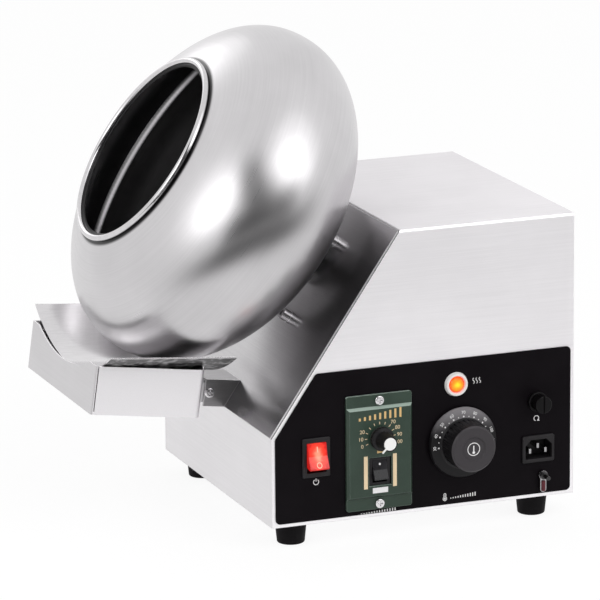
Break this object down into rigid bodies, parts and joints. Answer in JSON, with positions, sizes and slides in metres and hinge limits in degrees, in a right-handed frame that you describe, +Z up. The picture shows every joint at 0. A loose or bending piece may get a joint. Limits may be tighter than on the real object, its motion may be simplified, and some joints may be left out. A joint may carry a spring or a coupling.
{
  "type": "dragee coating pan",
  "caption": "Table-top coating pan: a tilted spun-steel drum on a geared motor housing, with a heated tray under the drum and speed, heat and power controls on one side.",
  "frame": {"origin": "on the table, under the middle of the housing's length and width", "axes": "+X to the control side, +Y to the rear, +Z up"},
  "size_m": [0.3083, 0.4103, 0.4107],
  "materials": {
    "housing_steel": "satin stainless sheet",
    "slope_steel": "polished stainless sheet",
    "pan_steel": "polished spun stainless",
    "bead_steel": "polished",
    "tray_steel": "satin stainless sheet",
    "liner_steel": "polished stainless sheet",
    "fascia_black": "satin black",
    "foot_rubber": "matt",
    "fastener_steel": "plated",
    "machined_steel": "machined",
    "case_aluminium": "cast and machined",
    "motor_paint": "black enamel",
    "lamination": "stacked laminations",
    "copper": "varnished copper wire",
    "bearing_steel": "ground",
    "capacitor_grey": "moulded",
    "element_steel": "heat stained",
    "support_ceramic": "unglazed",
    "switch_black": "moulded",
    "rocker_red": "lit translucent red",
    "rocker_black": "moulded",
    "controller_green": "dark green enamel",
    "knob_black": "moulded",
    "cap_white": "moulded",
    "lamp_bezel": "moulded white",
    "lamp_orange": "lit translucent orange",
    "body_dark": "moulded",
    "reset_black": "moulded",
    "pin_bright": "nickel plated",
    "sleeve_red": "soft vinyl",
    "blacked_steel": "blacked"
  },
  "bodies": {
    "housing": {"housing_cover": "housing_steel", "front_panel": "slope_steel", "base_plate": "housing_steel", "rear_panel": "housing_steel", "housing_screws": "fastener_steel", "feet": "foot_rubber", "control_fascia": "fascia_black", "gearhead_bearings": "bearing_steel", "gearhead_case": "case_aluminium", "gearhead_plate": "case_aluminium", "motor_case": "motor_paint", "motor_end_bell": "motor_paint", "stator_core": "lamination", "stator_coils": "copper", "motor_bearings": "bearing_steel", "motor_bolts": "fastener_steel", "tray_bracket": "tray_steel", "pivot_screws": "fastener_steel", "power_switch_body": "switch_black", "run_switch_body": "switch_black", "speed_controller_case": "controller_green", "control_screws": "fastener_steel", "speed_potentiometer": "body_dark", "panel_nuts": "fastener_steel", "heat_lamp_bezel": "lamp_bezel", "heat_lamp_lens": "lamp_orange", "thermostat_body": "body_dark", "overheat_cutout": "body_dark", "reset_collar": "reset_black", "power_inlet": "switch_black", "inlet_pins": "pin_bright", "earth_stud": "blacked_steel", "earth_lug": "pin_bright", "earth_lug_sleeve": "sleeve_red", "motor_capacitor": "capacitor_grey"},
    "pan": {"pan_shell": "pan_steel", "pan_mouth_bead": "bead_steel", "pan_hub": "machined_steel", "hub_grub_screw": "fastener_steel", "output_shaft": "machined_steel", "output_gear": "machined_steel"},
    "layshaft": {"layshaft_pinion": "machined_steel", "layshaft_gear": "machined_steel"},
    "rotor": {"rotor_shaft": "machined_steel", "rotor_core": "lamination"},
    "tray": {"tray_box": "tray_steel", "tray_liner": "liner_steel", "tray_arm": "tray_steel", "heating_element": "element_steel", "element_supports": "support_ceramic"},
    "power_rocker": {"power_rocker": "rocker_red"},
    "run_rocker": {"run_rocker": "rocker_black"},
    "speed_knob": {"speed_knob": "knob_black", "speed_knob_cap": "cap_white", "potentiometer_shaft": "machined_steel"},
    "temperature_knob": {"temperature_knob": "knob_black", "thermostat_shaft": "machined_steel"},
    "reset_cap": {"reset_cap": "reset_black"},
    "reset_pin": {"reset_pin": "sleeve_red"}
  },
  "joints": [
    {"name": "pan_spin", "type": "hinge", "parent": "housing", "child": "pan", "pos_m": [0, -0.05119, 0.21677], "axis": [0, -0.8216, 0.5701], "continuous": true},
    {"name": "layshaft_spin", "type": "hinge", "parent": "housing", "child": "layshaft", "pos_m": [-0.02069, -0.0594, 0.20495], "axis": [0, -0.8216, 0.5701], "continuous": true},
    {"name": "rotor_spin", "type": "hinge", "parent": "housing", "child": "rotor", "pos_m": [0, -0.06146, 0.20198], "axis": [0, -0.8216, 0.5701], "continuous": true},
    {"name": "tray_tilt", "type": "hinge", "parent": "housing", "child": "tray", "pos_m": [0, -0.14835, 0.10971], "axis": [1, 0, 0], "range_deg": [-3, 20]},
    {"name": "power_rocker_tilt", "type": "hinge", "parent": "housing", "child": "power_rocker", "pos_m": [0.1294, -0.0965, 0.077], "axis": [0, 1, 0], "range_deg": [0, 40]},
    {"name": "run_rocker_tilt", "type": "hinge", "parent": "housing", "child": "run_rocker", "pos_m": [0.1309, -0.0415, 0.06], "axis": [0, 1, 0], "range_deg": [0, 40]},
    {"name": "speed_knob_turn", "type": "hinge", "parent": "housing", "child": "speed_knob", "pos_m": [0.1298, -0.0415, 0.0888], "axis": [1, 0, 0], "range_deg": [-270, 0]},
    {"name": "temperature_knob_turn", "type": "hinge", "parent": "housing", "child": "temperature_knob", "pos_m": [0.1298, 0.0325, 0.0765], "axis": [1, 0, 0], "range_deg": [-270, 0]},
    {"name": "reset_cap_turn", "type": "hinge", "parent": "housing", "child": "reset_cap", "pos_m": [0.1298, 0.101, 0.1035], "axis": [1, 0, 0], "range_deg": [0, 90]},
    {"name": "reset_press", "type": "slide", "parent": "housing", "child": "reset_pin", "axis": [-1, 0, 0], "range_m": [0, 0.003], "stiffness_N_per_m": 600, "springref_m": -0.002}
  ],
  "couplings": [
    {"joint": "layshaft_spin", "follows": "pan_spin", "ratio": -5},
    {"joint": "rotor_spin", "follows": "pan_spin", "ratio": 30}
  ]
}
